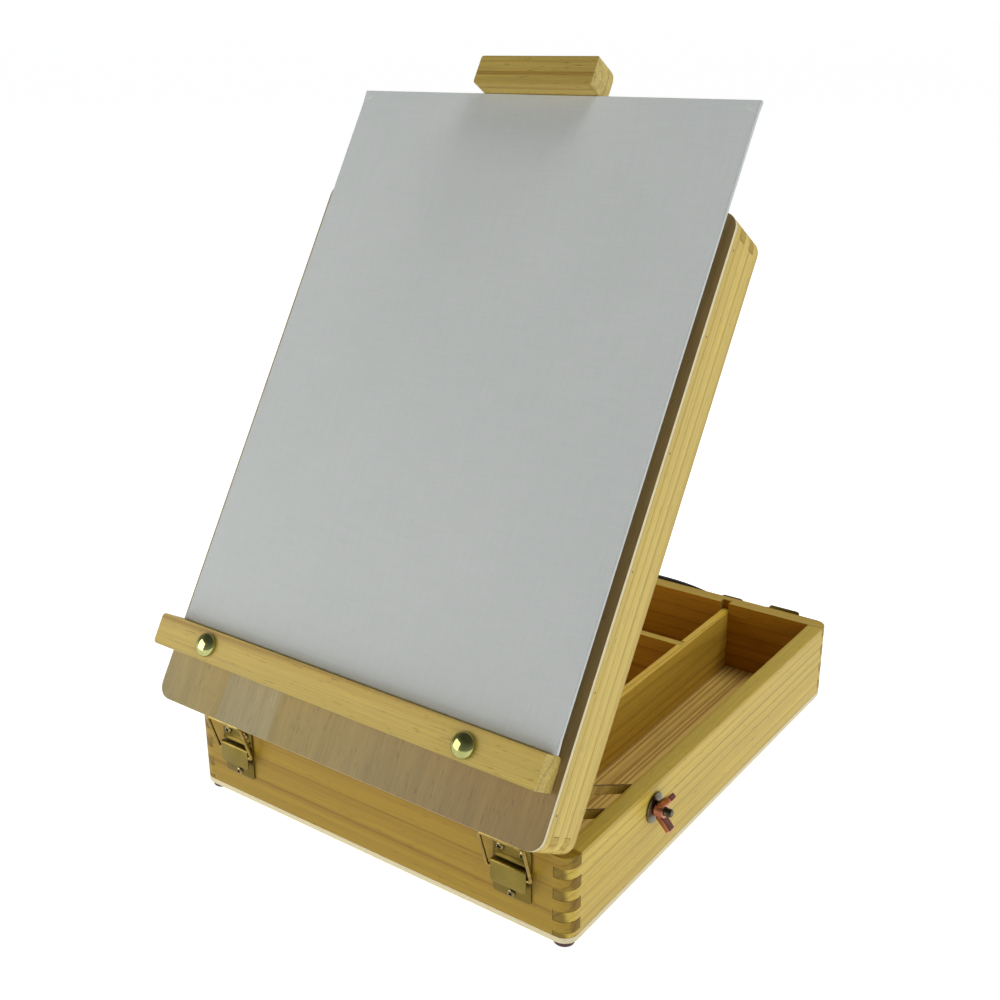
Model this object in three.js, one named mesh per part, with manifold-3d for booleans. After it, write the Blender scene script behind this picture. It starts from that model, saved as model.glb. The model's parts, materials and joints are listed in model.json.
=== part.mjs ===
// Tabletop box easel: a pine box with a lid that tilts up to carry a canvas.
// Millimetres, +Z up. The origin is on the table, under the middle of the easel's outline.
// +X is to the painter's right, and +Y points away from the painter, to the carrying handle.

import * as THREE from 'three';
import { mergeVertices } from 'three/addons/utils/BufferGeometryUtils.js';
import Module from 'manifold-3d';

const wasm = await Module();
wasm.setup();

// ---------------------------------------------------------------- driving dimensions

const GAP = 0.2;            // seam between boards that are glued to each other
const FIT = 0.3;            // gap between a fitting and what it is screwed to

const BOX_W = 315;          // outer width of the box and of the lid
const BOX_D = 387;          // outer depth of the box, and length of the lid
const WALL = 12;            // thickness of the box walls and of the lid rails
const WALL_TOP = 61.3;      // top of the walls above the underside of the base
const BASE_T = 4;           // plywood base
const CORNER_R = 10;        // rounded upright corners
const FINGER_H = WALL_TOP / 8;
const FOOT_R = 7;
const FOOT_H = 5;
const FOOT_INSET = 9.5;     // from both outer faces to the middle of a foot

const DIVIDER_T = 7;
const DIVIDER_TOP = 53.3;
const DIVIDER_X = 70;       // left face of the divider that runs front to back
const CROSS_Y = 299;        // front face of the divider that runs left to right
const DADO = 6;             // depth of the slots that hold the dividers in the walls
const GROOVE = 2.5;         // depth of the groove that holds the cross divider's right end

const LID_T = 40;           // plywood face and rails together
const PANEL_T = 3;
const LID_GAP = 0.5;        // between the closed lid and the walls
const TILT = THREE.MathUtils.degToRad(57.4);
const HINGE_Y = -2.5;       // line about which the lid tips, just in front of the box
const HINGE_Z = 62;

const STAY_W = 21;          // slotted stays
const STAY_T = 2.5;
const STAY_SLOT = 9.6;
const STAY_SLOT_NEAR = 48;  // slot ends, from the stay's pivot
const STAY_SLOT_FAR = 131;
const STAY_A = 27;          // the stay's pivot: up the lid, and below its face
const STAY_N = -14;
const STAY_BOLT_Y = 100.6;
const STAY_BOLT_Z = 44.7;
const STAY_BOLT_OUT = 13;   // the bolt stands out of the wall by this much
const STAY_SHANK_R = 2.0;   // turned down where it runs in the slot

const LEDGE_LOW = 34.7;     // canvas ledge: from the lid's bottom edge
const LEDGE_HIGH = 56.1;
const LEDGE_PROUD = 20;
const LEDGE_LEFT = -158.5;
const LEDGE_RIGHT = 153;
const LEDGE_END_R = 3;      // its left end has rounded corners
const LEDGE_BOLTS = [[-110.9, 45.6], [101.4, 44.4]];

const CANVAS_W = 300;
const CANVAS_H = 396;
const CANVAS_T = 3;
const CANVAS_X = 5;         // it stands a little to the right
const CANVAS_BACK = 9.2;    // from the plywood to its back

const MAST_W = 40;
const MAST_T = 8;
const MAST_LOW = 200;
const MAST_HIGH = 467;
const MAST_BOLT_A = 232;
const MAST_TRAVEL = 120;
const BLOCK_W = 90;
const BLOCK_LOW = LEDGE_HIGH + FIT + CANVAS_H + FIT;
const BLOCK_H = 21;
const BLOCK_PROUD = 24;
const BLOCK_END_R = 2.5;    // rounded corners at both ends

const LATCH_X = 116.7;      // latches: from the middle of the box
const LATCH_W = 28;
const LATCH_LOW = 19.5;
const LATCH_HIGH = 57.5;
const REAR_LATCH_UP = 3.5;  // the rear pair is screwed on this much higher
const LEVER_W = 26;
const LEVER_PIVOT = [3.8, 43];     // out from the wall, and up
const LEVER_OPEN = THREE.MathUtils.degToRad(150);
const BAIL_PIVOT = [4.2, 38.8];
const BAIL_BAR = [13.3, 67.2];     // the bail's bar when it leans in the catch
const BAIL_HALF = 16.3;
const WIRE_R = 1.3;
const BAIL_PER_LEVER = 1.975;      // the bail drops this much for each degree of lever

const HANDLE_HALF = 72;
const HANDLE_Z = 47.5;
const HANDLE_H = 20;
const STRAP_T = 3.4;
const STRAP_BOW = 10;

// ---------------------------------------------------------------- colours

const FINISH = {
  pine: { color: 0xc9b36b, roughness: 0.5, metalness: 0 },
  plywood: { color: 0x9c8862, roughness: 0.6, metalness: 0 },
  canvas: { color: 0xb4bbb8, roughness: 0.85, metalness: 0 },
  brass: { color: 0xa88f3c, roughness: 0.35, metalness: 1 },
  steel: { color: 0xb9a65a, roughness: 0.3, metalness: 1 },
  dark: { color: 0x6b6142, roughness: 0.4, metalness: 1 },
  copper: { color: 0x8a4a30, roughness: 0.35, metalness: 1 },
  strap: { color: 0x141312, roughness: 0.7, metalness: 0 },
  foot: { color: 0x3a1d18, roughness: 0.6, metalness: 0 },
};

// ---------------------------------------------------------------- solids

function toSolid(geometry) {
  const bare = geometry.clone();
  bare.deleteAttribute('normal');
  bare.deleteAttribute('uv');
  const merged = mergeVertices(bare, 1e-4);
  const triangles = [];
  for (let i = 0; i < merged.index.count; i += 3) {
    const [a, b, c] = [0, 1, 2].map((k) => merged.index.getX(i + k));
    if (a !== b && b !== c && c !== a) triangles.push(a, b, c);
  }
  return new wasm.Manifold(new wasm.Mesh({
    numProp: 3,
    vertProperties: merged.attributes.position.array,
    triVerts: new Uint32Array(triangles),
  }));
}

function toGeometry(solid) {
  const mesh = solid.getMesh();
  const geometry = new THREE.BufferGeometry();
  geometry.setAttribute('position', new THREE.BufferAttribute(mesh.vertProperties, 3));
  geometry.setIndex(new THREE.BufferAttribute(mesh.triVerts, 1));
  return geometry;
}

function join(...geometries) {
  return toGeometry(geometries.map(toSolid).reduce((sum, next) => sum.add(next)));
}

function cut(geometry, ...tools) {
  return toGeometry(tools.map(toSolid).reduce((rest, tool) => rest.subtract(tool), toSolid(geometry)));
}

function keep(geometry, region) {
  return toGeometry(toSolid(geometry).intersect(toSolid(region)));
}

// A box between two corners.
function box(low, high) {
  const size = high.map((value, i) => value - low[i]);
  const middle = high.map((value, i) => (value + low[i]) / 2);
  return new THREE.BoxGeometry(...size).translate(...middle);
}

// An outline drawn across one axis, pushed along it from one place to another.
function pushZ(outline, from, to, curveSegments = 3) {
  const settings = { depth: to - from, bevelEnabled: false, curveSegments };
  return new THREE.ExtrudeGeometry(outline, settings).translate(0, 0, from);
}

// The outline's own axes become Y and Z.
function pushX(outline, from, to, curveSegments = 3) {
  const turn = new THREE.Matrix4().makeBasis(
    new THREE.Vector3(0, 1, 0), new THREE.Vector3(0, 0, 1), new THREE.Vector3(1, 0, 0));
  return pushZ(outline, from, to, curveSegments).applyMatrix4(turn);
}

// The outline's own axes become X and Z.
function pushY(outline, from, to, curveSegments = 3) {
  return pushZ(outline, -to, -from, curveSegments).rotateX(Math.PI / 2);
}

// A turned shape: pairs of [radius, place along +Y], then laid along X or Z.
function turned(profile, sides = 16) {
  return new THREE.LatheGeometry(profile.map(([r, h]) => new THREE.Vector2(r, h)), sides);
}

function alongX(geometry) {
  return geometry.rotateZ(-Math.PI / 2);
}

function alongZ(geometry) {
  return geometry.rotateX(Math.PI / 2);
}

function peg(radius, from, to, sides = 16) {
  return turned([[0, from], [radius, from], [radius, to], [0, to]], sides);
}

// Rectangle with rounded corners, between two corners.
function roundedRect([x0, y0], [x1, y1], r) {
  const shape = new THREE.Shape();
  shape.moveTo(x0 + r, y0);
  shape.lineTo(x1 - r, y0);
  shape.absarc(x1 - r, y0 + r, r, -Math.PI / 2, 0);
  shape.lineTo(x1, y1 - r);
  shape.absarc(x1 - r, y1 - r, r, 0, Math.PI / 2);
  shape.lineTo(x0 + r, y1);
  shape.absarc(x0 + r, y1 - r, r, Math.PI / 2, Math.PI);
  shape.lineTo(x0, y0 + r);
  shape.absarc(x0 + r, y0 + r, r, Math.PI, Math.PI * 1.5);
  return shape;
}

function polygon(points, Kind = THREE.Shape) {
  return new Kind(points.map(([x, y]) => new THREE.Vector2(x, y)));
}

function rectHole([x0, y0], [x1, y1]) {
  return polygon([[x0, y0], [x0, y1], [x1, y1], [x1, y0]], THREE.Path);
}

// A round hole as a polygon whose flats lie at the hole's radius.
function roundHole(x, y, r, sides = 12) {
  const reach = r / Math.cos(Math.PI / sides);
  const corners = Array.from({ length: sides }, (_, i) => {
    const angle = (-2 * Math.PI * i) / sides;
    return [x + reach * Math.cos(angle), y + reach * Math.sin(angle)];
  });
  return polygon(corners, THREE.Path);
}

function node(name, geometry, finish) {
  const mesh = new THREE.Mesh(geometry, new THREE.MeshStandardMaterial(FINISH[finish]));
  mesh.name = name;
  return mesh;
}

// ---------------------------------------------------------------- finger-jointed frame

const HALF_W = BOX_W / 2;
const INNER_X = HALF_W - WALL;

// Four boards of one ring. `levels` lists [low, high, owner] up the corner, where the owner
// of each finger is 'end' for the short boards and 'side' for the long ones.
function fingerFrame(low, high, levels) {
  const outline = roundedRect([-HALF_W, 0], [HALF_W, BOX_D], CORNER_R);
  outline.holes.push(rectHole([-INNER_X, WALL], [INNER_X, BOX_D - WALL]));
  const ring = pushZ(outline, low, high);

  function endBoard(y0, y1) {
    const notches = [];
    for (const [z0, z1, owner] of levels) {
      if (owner === 'end') continue;
      for (const side of [-1, 1]) {
        const xs = [side * (INNER_X - GAP), side * (HALF_W + 1)].sort((a, b) => a - b);
        notches.push(box([xs[0], y0 - 1, z0], [xs[1], y1 + 1, z1]));
      }
    }
    return cut(keep(ring, box([-HALF_W - 1, y0, low - 1], [HALF_W + 1, y1, high + 1])), ...notches);
  }

  function sideBoard(side) {
    const xs = [side * INNER_X, side * (HALF_W + 1)].sort((a, b) => a - b);
    const notches = [];
    for (const [z0, z1, owner] of levels) {
      if (owner === 'side') continue;
      const below = z0 - GAP;
      const above = z1 + GAP;
      notches.push(box([xs[0] - 1, -1, below], [xs[1] + 1, WALL + GAP, above]));
      notches.push(box([xs[0] - 1, BOX_D - WALL - GAP, below], [xs[1] + 1, BOX_D + 1, above]));
    }
    return cut(keep(ring, box([xs[0], -1, low - 1], [xs[1], BOX_D + 1, high + 1])), ...notches);
  }

  return {
    near: endBoard(-1, WALL),
    far: endBoard(BOX_D - WALL, BOX_D + 1),
    left: sideBoard(-1),
    right: sideBoard(1),
  };
}

// Finger levels counted down from the top. The first owner has the top finger.
function fingerLevels(top, bottom, firstOwner) {
  const levels = [];
  let high = top;
  let owner = firstOwner;
  while (high > bottom + GAP) {
    const low = high - FINGER_H > bottom + GAP ? high - FINGER_H : bottom - 1;
    levels.push([low, high === top ? top + 1 : high, owner]);
    high = low;
    owner = owner === 'end' ? 'side' : 'end';
  }
  return levels;
}

// ---------------------------------------------------------------- the box

function boxParts() {
  const floor = BASE_T + GAP;
  const walls = fingerFrame(floor, WALL_TOP, fingerLevels(WALL_TOP, floor, 'end'));
  const middle = [STAY_BOLT_Y, STAY_BOLT_Z];

  const dado = (y0, y1) => box([DIVIDER_X - GAP, y0, floor - 1],
    [DIVIDER_X + DIVIDER_T + GAP, y1, WALL_TOP + 1]);
  const bolt = alongX(peg(3.4, -HALF_W - 5, HALF_W + 5)).translate(0, ...middle);

  const base = pushZ(roundedRect([-HALF_W, 0], [HALF_W, BOX_D], CORNER_R), 0, BASE_T);

  // The cross divider's right end slides down a groove in the long divider's left face.
  const long = box([DIVIDER_X, WALL - DADO + GAP, floor + GAP],
    [DIVIDER_X + DIVIDER_T, BOX_D - WALL + DADO - GAP, DIVIDER_TOP]);
  const groove = box([DIVIDER_X - 1, CROSS_Y - GAP, floor],
    [DIVIDER_X + GROOVE + GAP, CROSS_Y + DIVIDER_T + GAP, DIVIDER_TOP + 1]);
  const cross = box([-INNER_X + GAP, CROSS_Y, floor + GAP],
    [DIVIDER_X + GROOVE, CROSS_Y + DIVIDER_T, DIVIDER_TOP - 0.5]);

  const parts = [
    node('front_wall', cut(walls.near, dado(WALL - DADO, WALL + 1)), 'pine'),
    node('rear_wall', cut(walls.far, dado(BOX_D - WALL - 1, BOX_D - WALL + DADO)), 'pine'),
    node('left_wall', cut(walls.left, bolt), 'pine'),
    node('right_wall', cut(walls.right, bolt), 'pine'),
    node('base_panel', base, 'plywood'),
    node('long_divider', cut(long, groove), 'pine'),
    node('cross_divider', cross, 'pine'),
  ];
  for (const [end, y] of [['front', FOOT_INSET], ['rear', BOX_D - FOOT_INSET]]) {
    for (const [side, sign] of [['left', -1], ['right', 1]]) {
      const foot = alongZ(turned([[0, -FOOT_H], [FOOT_R - 1, -FOOT_H], [FOOT_R, -FOOT_H + 1],
        [FOOT_R, -GAP], [0, -GAP]], 16));
      foot.translate(sign * (HALF_W - FOOT_INSET), y, 0);
      parts.push(node(`foot_${end}_${side}`, foot, 'foot'));
    }
  }
  return parts;
}

// ---------------------------------------------------------------- wing nuts

// A wing nut standing up +Y from its seat, wings along X, with a bore for the bolt.
function wingNut(boreR, hubR = 5.2, hubH = 6.5, reach = 12.6, rise = 12.2) {
  const hub = turned([[boreR, 0], [hubR, 0], [hubR - 0.8, hubH], [boreR, hubH], [boreR, 0]]);
  const wing = (sign) => polygon([
    [sign * (boreR + 0.6), 2.2], [sign * (hubR + 0.2), 1.4], [sign * (reach + 1.4), rise - 2.2],
    [sign * (reach - 0.8), rise], [sign * (boreR + 0.8), 5.6],
  ]);
  const wings = [-1, 1].map((sign) => pushZ(wing(sign), -3.6, 3.6));
  return join(hub, ...wings);
}

function dome(radius, height, from) {
  const steps = 4;
  const points = [];
  for (let i = 0; i <= steps; i += 1) {
    const angle = (Math.PI / 2) * (i / steps);
    points.push([radius * Math.cos(angle), from + height * Math.sin(angle)]);
  }
  points[steps][0] = 0;
  return points;
}

// ---------------------------------------------------------------- stays and their bolts

function sideHardware() {
  const parts = [];
  const inside = INNER_X - FIT - STAY_T - FIT;      // where the bolt head bears
  for (const [side, sign] of [['left', -1], ['right', 1]]) {
    const head = dome(7, 4, 0).reverse().map(([r, h]) => [r, inside - h]);
    const bolt = turned([...head, [STAY_SHANK_R, inside], [STAY_SHANK_R, INNER_X - 0.1],
      [2.9, INNER_X - 0.1], [2.9, HALF_W + STAY_BOLT_OUT - 0.6],
      [2.3, HALF_W + STAY_BOLT_OUT], [0, HALF_W + STAY_BOLT_OUT]]);
    const washer = turned([[3.3, 0], [10.5, 0], [10.5, 1], [10, 1.3], [3.3, 1.3], [3.3, 0]], 28);
    const seat = HALF_W + FIT + 1.3 + FIT;
    const nut = wingNut(3.15).rotateY(Math.PI / 2);
    const lay = (geometry) => {
      alongX(geometry);
      if (sign < 0) geometry.rotateZ(Math.PI);
      return geometry.translate(0, STAY_BOLT_Y, STAY_BOLT_Z);
    };
    parts.push(node(`stay_bolt_${side}`, lay(bolt), 'steel'));
    parts.push(node(`stay_washer_${side}`, lay(washer.translate(0, HALF_W + FIT, 0)), 'dark'));
    parts.push(node(`stay_wing_nut_${side}`, lay(nut.translate(0, seat, 0)), 'copper'));
  }
  return parts;
}

// A slotted stay lies along +Y from its pivot, flat in the YZ plane.
function stay(x) {
  const r = STAY_W / 2;
  const end = STAY_SLOT_FAR + STAY_SLOT / 2 + 3;
  const slotR = STAY_SLOT / 2;
  const outline = new THREE.Shape();
  outline.absarc(0, 0, r, Math.PI / 2, Math.PI * 1.5);
  outline.absarc(end - r + 5, 0, r, -Math.PI / 2, Math.PI / 2);
  const slot = new THREE.Path();
  slot.absarc(STAY_SLOT_NEAR + slotR - 3, 0, slotR, Math.PI * 1.5, Math.PI / 2, true);
  slot.absarc(STAY_SLOT_FAR + 1 - slotR + 3, 0, slotR, Math.PI / 2, -Math.PI / 2, true);
  outline.holes.push(slot, roundHole(0, 0, 2.5));
  return pushX(outline, x - STAY_T / 2, x + STAY_T / 2, 5);
}

// ---------------------------------------------------------------- the lid

// In the lid's own frame +Y runs up its face from the bottom edge, and +Z stands out of it.
function lidParts() {
  const low = -LID_T;
  const high = -PANEL_T - GAP;
  const levels = [];
  let from = low - 1;
  let to = low + FINGER_H;
  let owner = 'side';
  while (from < high) {
    levels.push([from, to < high - GAP ? to : high + 1, owner]);
    from = to;
    to += FINGER_H;
    owner = owner === 'end' ? 'side' : 'end';
  }
  const rails = fingerFrame(low, high, levels);

  const face = roundedRect([-HALF_W, 0], [HALF_W, BOX_D], CORNER_R);
  for (const [x, a] of LEDGE_BOLTS) face.holes.push(roundHole(x, a, 3.4));
  const slotR = 3.6;
  const slot = new THREE.Path();
  slot.absarc(0, MAST_BOLT_A - 1, slotR, 0, -Math.PI, true);
  slot.absarc(0, MAST_BOLT_A + MAST_TRAVEL + 1, slotR, Math.PI, 0, true);
  face.holes.push(slot);

  const screwHole = alongX(peg(2.5, -INNER_X - 9, INNER_X + 9, 16)).translate(0, STAY_A, STAY_N);
  const parts = [
    node('lid_panel', pushZ(face, -PANEL_T, 0), 'plywood'),
    node('lid_bottom_rail', rails.near, 'pine'),
    node('lid_top_rail', rails.far, 'pine'),
    node('lid_left_rail', cut(rails.left, screwHole), 'pine'),
    node('lid_right_rail', cut(rails.right, screwHole), 'pine'),
  ];
  const head = INNER_X - FIT - STAY_T - FIT;
  for (const [side, sign] of [['left', -1], ['right', 1]]) {
    const screw = alongX(turned([[0, head - 2.6], [3, head - 2.6], [4.5, head - 1.2],
      [4.5, head], [2.1, head], [2.1, INNER_X + 8], [0, INNER_X + 8.6]], 16));
    if (sign < 0) screw.rotateZ(Math.PI);
    parts.push(node(`stay_pivot_${side}`, screw.translate(0, STAY_A, STAY_N), 'steel'));
  }
  return parts;
}

// A hooked catch on an end face of the lid, drawn for the bottom end.
function catchPlate(lift) {
  const base = box([-13, -1 - FIT, -38], [13, -FIT, -31]);
  const hook = pushX(polygon([[-0.5, -37.4], [-6.4, -37.4], [-6.4, -32.6], [-5.4, -32.6],
    [-5.4, -36.4], [-0.5, -36.4]]), -5, 5);
  return join(base, hook).translate(0, 0, lift);
}

// ---------------------------------------------------------------- ledge, mast and canvas

function ledgeParts() {
  // The ledge's section, in the lid's Y and Z: square in front, rounded behind.
  const section = new THREE.Shape();
  section.moveTo(LEDGE_HIGH, LEDGE_PROUD);
  section.lineTo(LEDGE_LOW, LEDGE_PROUD);
  section.absarc(LEDGE_LOW + 2.5, FIT + 2.5, 2.5, Math.PI, Math.PI * 1.5);
  section.absarc(LEDGE_HIGH - 4, FIT + 4, 4, -Math.PI / 2, 0);
  const bores = LEDGE_BOLTS.map(
    ([x, a]) => alongZ(peg(3.4, -1, LEDGE_PROUD + 1)).translate(x, a, 0));
  const ends = pushZ(roundedRect([LEDGE_LEFT, LEDGE_LOW],
    [LEDGE_RIGHT + LEDGE_END_R, LEDGE_HIGH], LEDGE_END_R), -1, LEDGE_PROUD + 1);
  const ledge = cut(keep(pushX(section, LEDGE_LEFT, LEDGE_RIGHT), ends), ...bores);
  const parts = [node('canvas_ledge', ledge, 'pine')];
  const seat = LEDGE_PROUD + FIT;
  LEDGE_BOLTS.forEach(([x, a], i) => {
    const side = ['left', 'right'][i];
    const bolt = turned([[0, -17], [2.4, -17], [2.9, -16.4], [2.9, seat], [8, seat],
      ...dome(8, 4.6, seat).slice(1)]);
    const nut = wingNut(3.15).rotateZ(Math.PI).translate(0, -PANEL_T - FIT, 0);
    parts.push(node(`ledge_bolt_${side}`, alongZ(bolt).translate(x, a, 0), 'steel'));
    parts.push(node(`ledge_wing_nut_${side}`, alongZ(nut).translate(x, a, 0), 'copper'));
  });
  return parts;
}

function mastParts() {
  const top = BLOCK_LOW + BLOCK_H;
  const front = FIT + MAST_T;
  const outline = roundedRect([-MAST_W / 2, MAST_LOW], [MAST_W / 2, MAST_HIGH], 3);
  const blank = pushZ(outline, FIT, front);
  const bore = alongZ(peg(3.4, -1, front + 1)).translate(0, MAST_BOLT_A, 0);
  const sink = alongZ(peg(7, front - 3.4, front + 1)).translate(0, MAST_BOLT_A, 0);

  // The block's section, in the lid's Y and Z, with a rounded back top edge.
  const section = new THREE.Shape();
  section.moveTo(BLOCK_LOW, FIT);
  section.lineTo(top - 7, FIT);
  section.absarc(top - 7, FIT + 7, 7, -Math.PI / 2, 0);
  section.lineTo(top, BLOCK_PROUD - 2);
  section.absarc(top - 2, BLOCK_PROUD - 2, 2, 0, Math.PI / 2);
  section.lineTo(BLOCK_LOW, BLOCK_PROUD);
  const rebate = box([-MAST_W / 2 - FIT, BLOCK_LOW - 1, -1],
    [MAST_W / 2 + FIT, MAST_HIGH + FIT, front + FIT]);
  const ends = pushZ(roundedRect([-BLOCK_W / 2, BLOCK_LOW], [BLOCK_W / 2, top], BLOCK_END_R),
    -1, BLOCK_PROUD + 1);
  const block = cut(keep(pushX(section, -BLOCK_W / 2, BLOCK_W / 2), ends), rebate);

  const seat = front - 3.4 + FIT;
  const bolt = turned([[0, -17], [2.4, -17], [2.9, -16.4], [2.9, seat], [6.2, seat],
    [6.2, seat + 1.2], [4.4, seat + 2.4], [0, seat + 2.8]]);
  const nut = wingNut(3.15).rotateZ(Math.PI).translate(0, -PANEL_T - FIT, 0);
  return [
    node('mast', cut(blank, bore, sink), 'pine'),
    node('clamp_block', block, 'pine'),
    node('mast_bolt', alongZ(bolt).translate(0, MAST_BOLT_A, 0), 'steel'),
    node('mast_wing_nut', alongZ(nut).translate(0, MAST_BOLT_A, 0), 'copper'),
  ];
}

function canvasBoard() {
  const foot = LEDGE_HIGH + FIT;
  return node('canvas_board', box(
    [CANVAS_X - CANVAS_W / 2, foot, CANVAS_BACK],
    [CANVAS_X + CANVAS_W / 2, foot + CANVAS_H, CANVAS_BACK + CANVAS_T]), 'canvas');
}

// ---------------------------------------------------------------- latches

// Latch pieces are drawn on a wall whose outer face is the plane Y = 0, standing out to -Y.
function latchPlate() {
  const r = 3;
  const sheet = pushY(roundedRect([-LATCH_W / 2, LATCH_LOW], [LATCH_W / 2, LATCH_HIGH], r),
    -FIT - 1, -FIT);
  const ridge = new THREE.Shape();
  ridge.absarc(-FIT - 1 + 0.2, 48.2, 1.7, Math.PI / 2, Math.PI * 1.5);
  return join(sheet, pushX(ridge, -LATCH_W / 2 + 2, LATCH_W / 2 - 2));
}

function latchLever() {
  const [out, up] = LEVER_PIVOT;
  const tip = 29;
  const face = new THREE.Shape();
  face.moveTo(-out - 0.8, tip);
  face.lineTo(-out - 0.8, up);
  face.absarc(-out, up, 0.8, Math.PI, 0, true);
  face.lineTo(-out + 1.6, up);
  face.absarc(-out, up, 1.6, 0, Math.PI);
  face.lineTo(-out - 1.8, tip);
  const rolled = pushX(face, -LEVER_W / 2, LEVER_W / 2, 5);
  const cheeks = [-1, 1].map((sign) => {
    const xs = [sign * (LEVER_W / 2 - 1), sign * (LEVER_W / 2)].sort((a, b) => a - b);
    return box([xs[0], -out - 1.2, 36], [xs[1], -out + 1.4, up]);
  });
  return join(rolled, ...cheeks);
}

// Wire bent along straight runs with rounded corners, its ends turned in to the lever.
function latchBail() {
  const [out, up] = BAIL_PIVOT;
  const length = Math.hypot(BAIL_BAR[0] - out, BAIL_BAR[1] - up);
  const inner = LEVER_W / 2 + FIT;
  const r = 2.2;
  const w = BAIL_HALF;
  const corners = [[-inner, 0], [-w, 0], [-w, length], [w, length], [w, 0], [inner, 0]];
  const path = new THREE.CurvePath();
  const at = ([x, z]) => new THREE.Vector3(x, 0, z);
  let from = at(corners[0]);
  for (let i = 1; i < corners.length - 1; i += 1) {
    const here = at(corners[i]);
    const next = at(corners[i + 1]);
    const before = here.clone().add(from.clone().sub(here).setLength(r));
    const after = here.clone().add(next.clone().sub(here).setLength(r));
    path.add(new THREE.LineCurve3(from, before));
    path.add(new THREE.QuadraticBezierCurve3(before, here, after));
    from = after;
  }
  path.add(new THREE.LineCurve3(from, at(corners[corners.length - 1])));
  const section = new THREE.Shape();
  section.absarc(0, 0, WIRE_R, 0, Math.PI * 2);
  const settings = { steps: 40, curveSegments: 3, bevelEnabled: false, extrudePath: path };
  return new THREE.ExtrudeGeometry(section, settings);
}

// One latch. `opened` is how far its lever is flipped up.
function latch(tag, opened) {
  const group = new THREE.Group();
  group.add(node(`latch_plate_${tag}`, latchPlate(), 'brass'));

  const pivot = new THREE.Group();
  pivot.position.set(0, -LEVER_PIVOT[0], LEVER_PIVOT[1]);
  pivot.rotation.x = -opened;
  const lever = latchLever().translate(0, LEVER_PIVOT[0], -LEVER_PIVOT[1]);
  pivot.add(node(`latch_lever_${tag}`, lever, 'brass'));

  const bail = node(`latch_bail_${tag}`, latchBail(), 'brass');
  const lean = Math.atan2(BAIL_BAR[0] - BAIL_PIVOT[0], BAIL_BAR[1] - BAIL_PIVOT[1]);
  bail.position.set(0, LEVER_PIVOT[0] - BAIL_PIVOT[0], BAIL_PIVOT[1] - LEVER_PIVOT[1]);
  bail.rotation.x = lean + BAIL_PER_LEVER * opened;
  pivot.add(bail);
  group.add(pivot);
  return group;
}

// ---------------------------------------------------------------- carrying handle

function handleParts() {
  const inner = 2;                // gap from the wall to the strap's flat ends
  const flat = HANDLE_HALF - 16;
  const low = HANDLE_Z - HANDLE_H / 2;
  const high = HANDLE_Z + HANDLE_H / 2;
  const end = HANDLE_HALF + 6;
  const capHalf = 10;
  const capOver = 1.5;            // the end caps reach this much above and below the strap
  const steps = 24;
  const bow = (x) => inner + STRAP_BOW * (1 - Math.abs(x / flat) ** 2.4) ** 1.1;
  const outline = new THREE.Shape();
  outline.moveTo(-end, inner);
  const across = Array.from({ length: steps + 1 }, (_, i) => -flat + (2 * flat * i) / steps);
  across.forEach((x) => outline.lineTo(x, bow(x)));
  outline.lineTo(end, inner);
  outline.lineTo(end, inner + STRAP_T);
  across.reverse().forEach((x) => outline.lineTo(x, bow(x) + STRAP_T));
  outline.lineTo(-end, inner + STRAP_T);
  const strap = pushZ(outline, low, high);
  const parts = [node('handle_strap', strap.translate(0, BOX_D, 0), 'strap')];

  for (const [side, sign] of [['left', -1], ['right', 1]]) {
    const shell = pushY(roundedRect([-capHalf, low - capOver], [capHalf, high + capOver], 3),
      FIT, inner + STRAP_T + 1.6);
    const pocket = box([-capHalf - 1, inner - FIT, low - FIT],
      [6 + FIT, inner + STRAP_T + FIT, high + FIT]);
    const cap = cut(shell, pocket);
    if (sign < 0) cap.applyMatrix4(new THREE.Matrix4().makeRotationZ(Math.PI))
      .translate(0, inner + STRAP_T + 1.6 + FIT, 0);
    cap.translate(sign * HANDLE_HALF, BOX_D, 0);
    parts.push(node(`handle_end_${side}`, cap, 'brass'));
  }
  return parts;
}

// ---------------------------------------------------------------- assembly

const closedBottom = new THREE.Vector2(0 - HINGE_Y, WALL_TOP + LID_GAP + LID_T - HINGE_Z);
const lidBottom = closedBottom.clone().rotateAround(new THREE.Vector2(), TILT);
lidBottom.add(new THREE.Vector2(HINGE_Y, HINGE_Z));

const easel = new THREE.Group();
const frontReach = lidBottom.x;
const backReach = BOX_D + 2 + STRAP_BOW + STRAP_T;
easel.position.set(0, -(frontReach + backReach) / 2, FOOT_H);
easel.add(...boxParts(), ...sideHardware(), ...handleParts());

const lid = new THREE.Group();
lid.position.set(0, lidBottom.x, lidBottom.y);
lid.rotation.x = TILT;
lid.add(...lidParts(), ...ledgeParts(), ...mastParts(), canvasBoard());
easel.add(lid);

for (const [side, sign] of [['left', -1], ['right', 1]]) {
  const front = latch(`front_${side}`, 0);
  front.position.set(sign * LATCH_X, 0, 0);
  easel.add(front);

  const rear = latch(`rear_${side}`, LEVER_OPEN);
  rear.rotation.z = Math.PI;
  rear.position.set(sign * LATCH_X, BOX_D, REAR_LATCH_UP);
  easel.add(rear);

  const nearCatch = node(`latch_catch_front_${side}`, catchPlate(0), 'brass');
  nearCatch.position.set(sign * LATCH_X, 0, 0);
  const farCatch = node(`latch_catch_rear_${side}`, catchPlate(REAR_LATCH_UP).rotateZ(Math.PI), 'brass');
  farCatch.position.set(sign * LATCH_X, BOX_D, 0);
  lid.add(nearCatch, farCatch);
}

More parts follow.
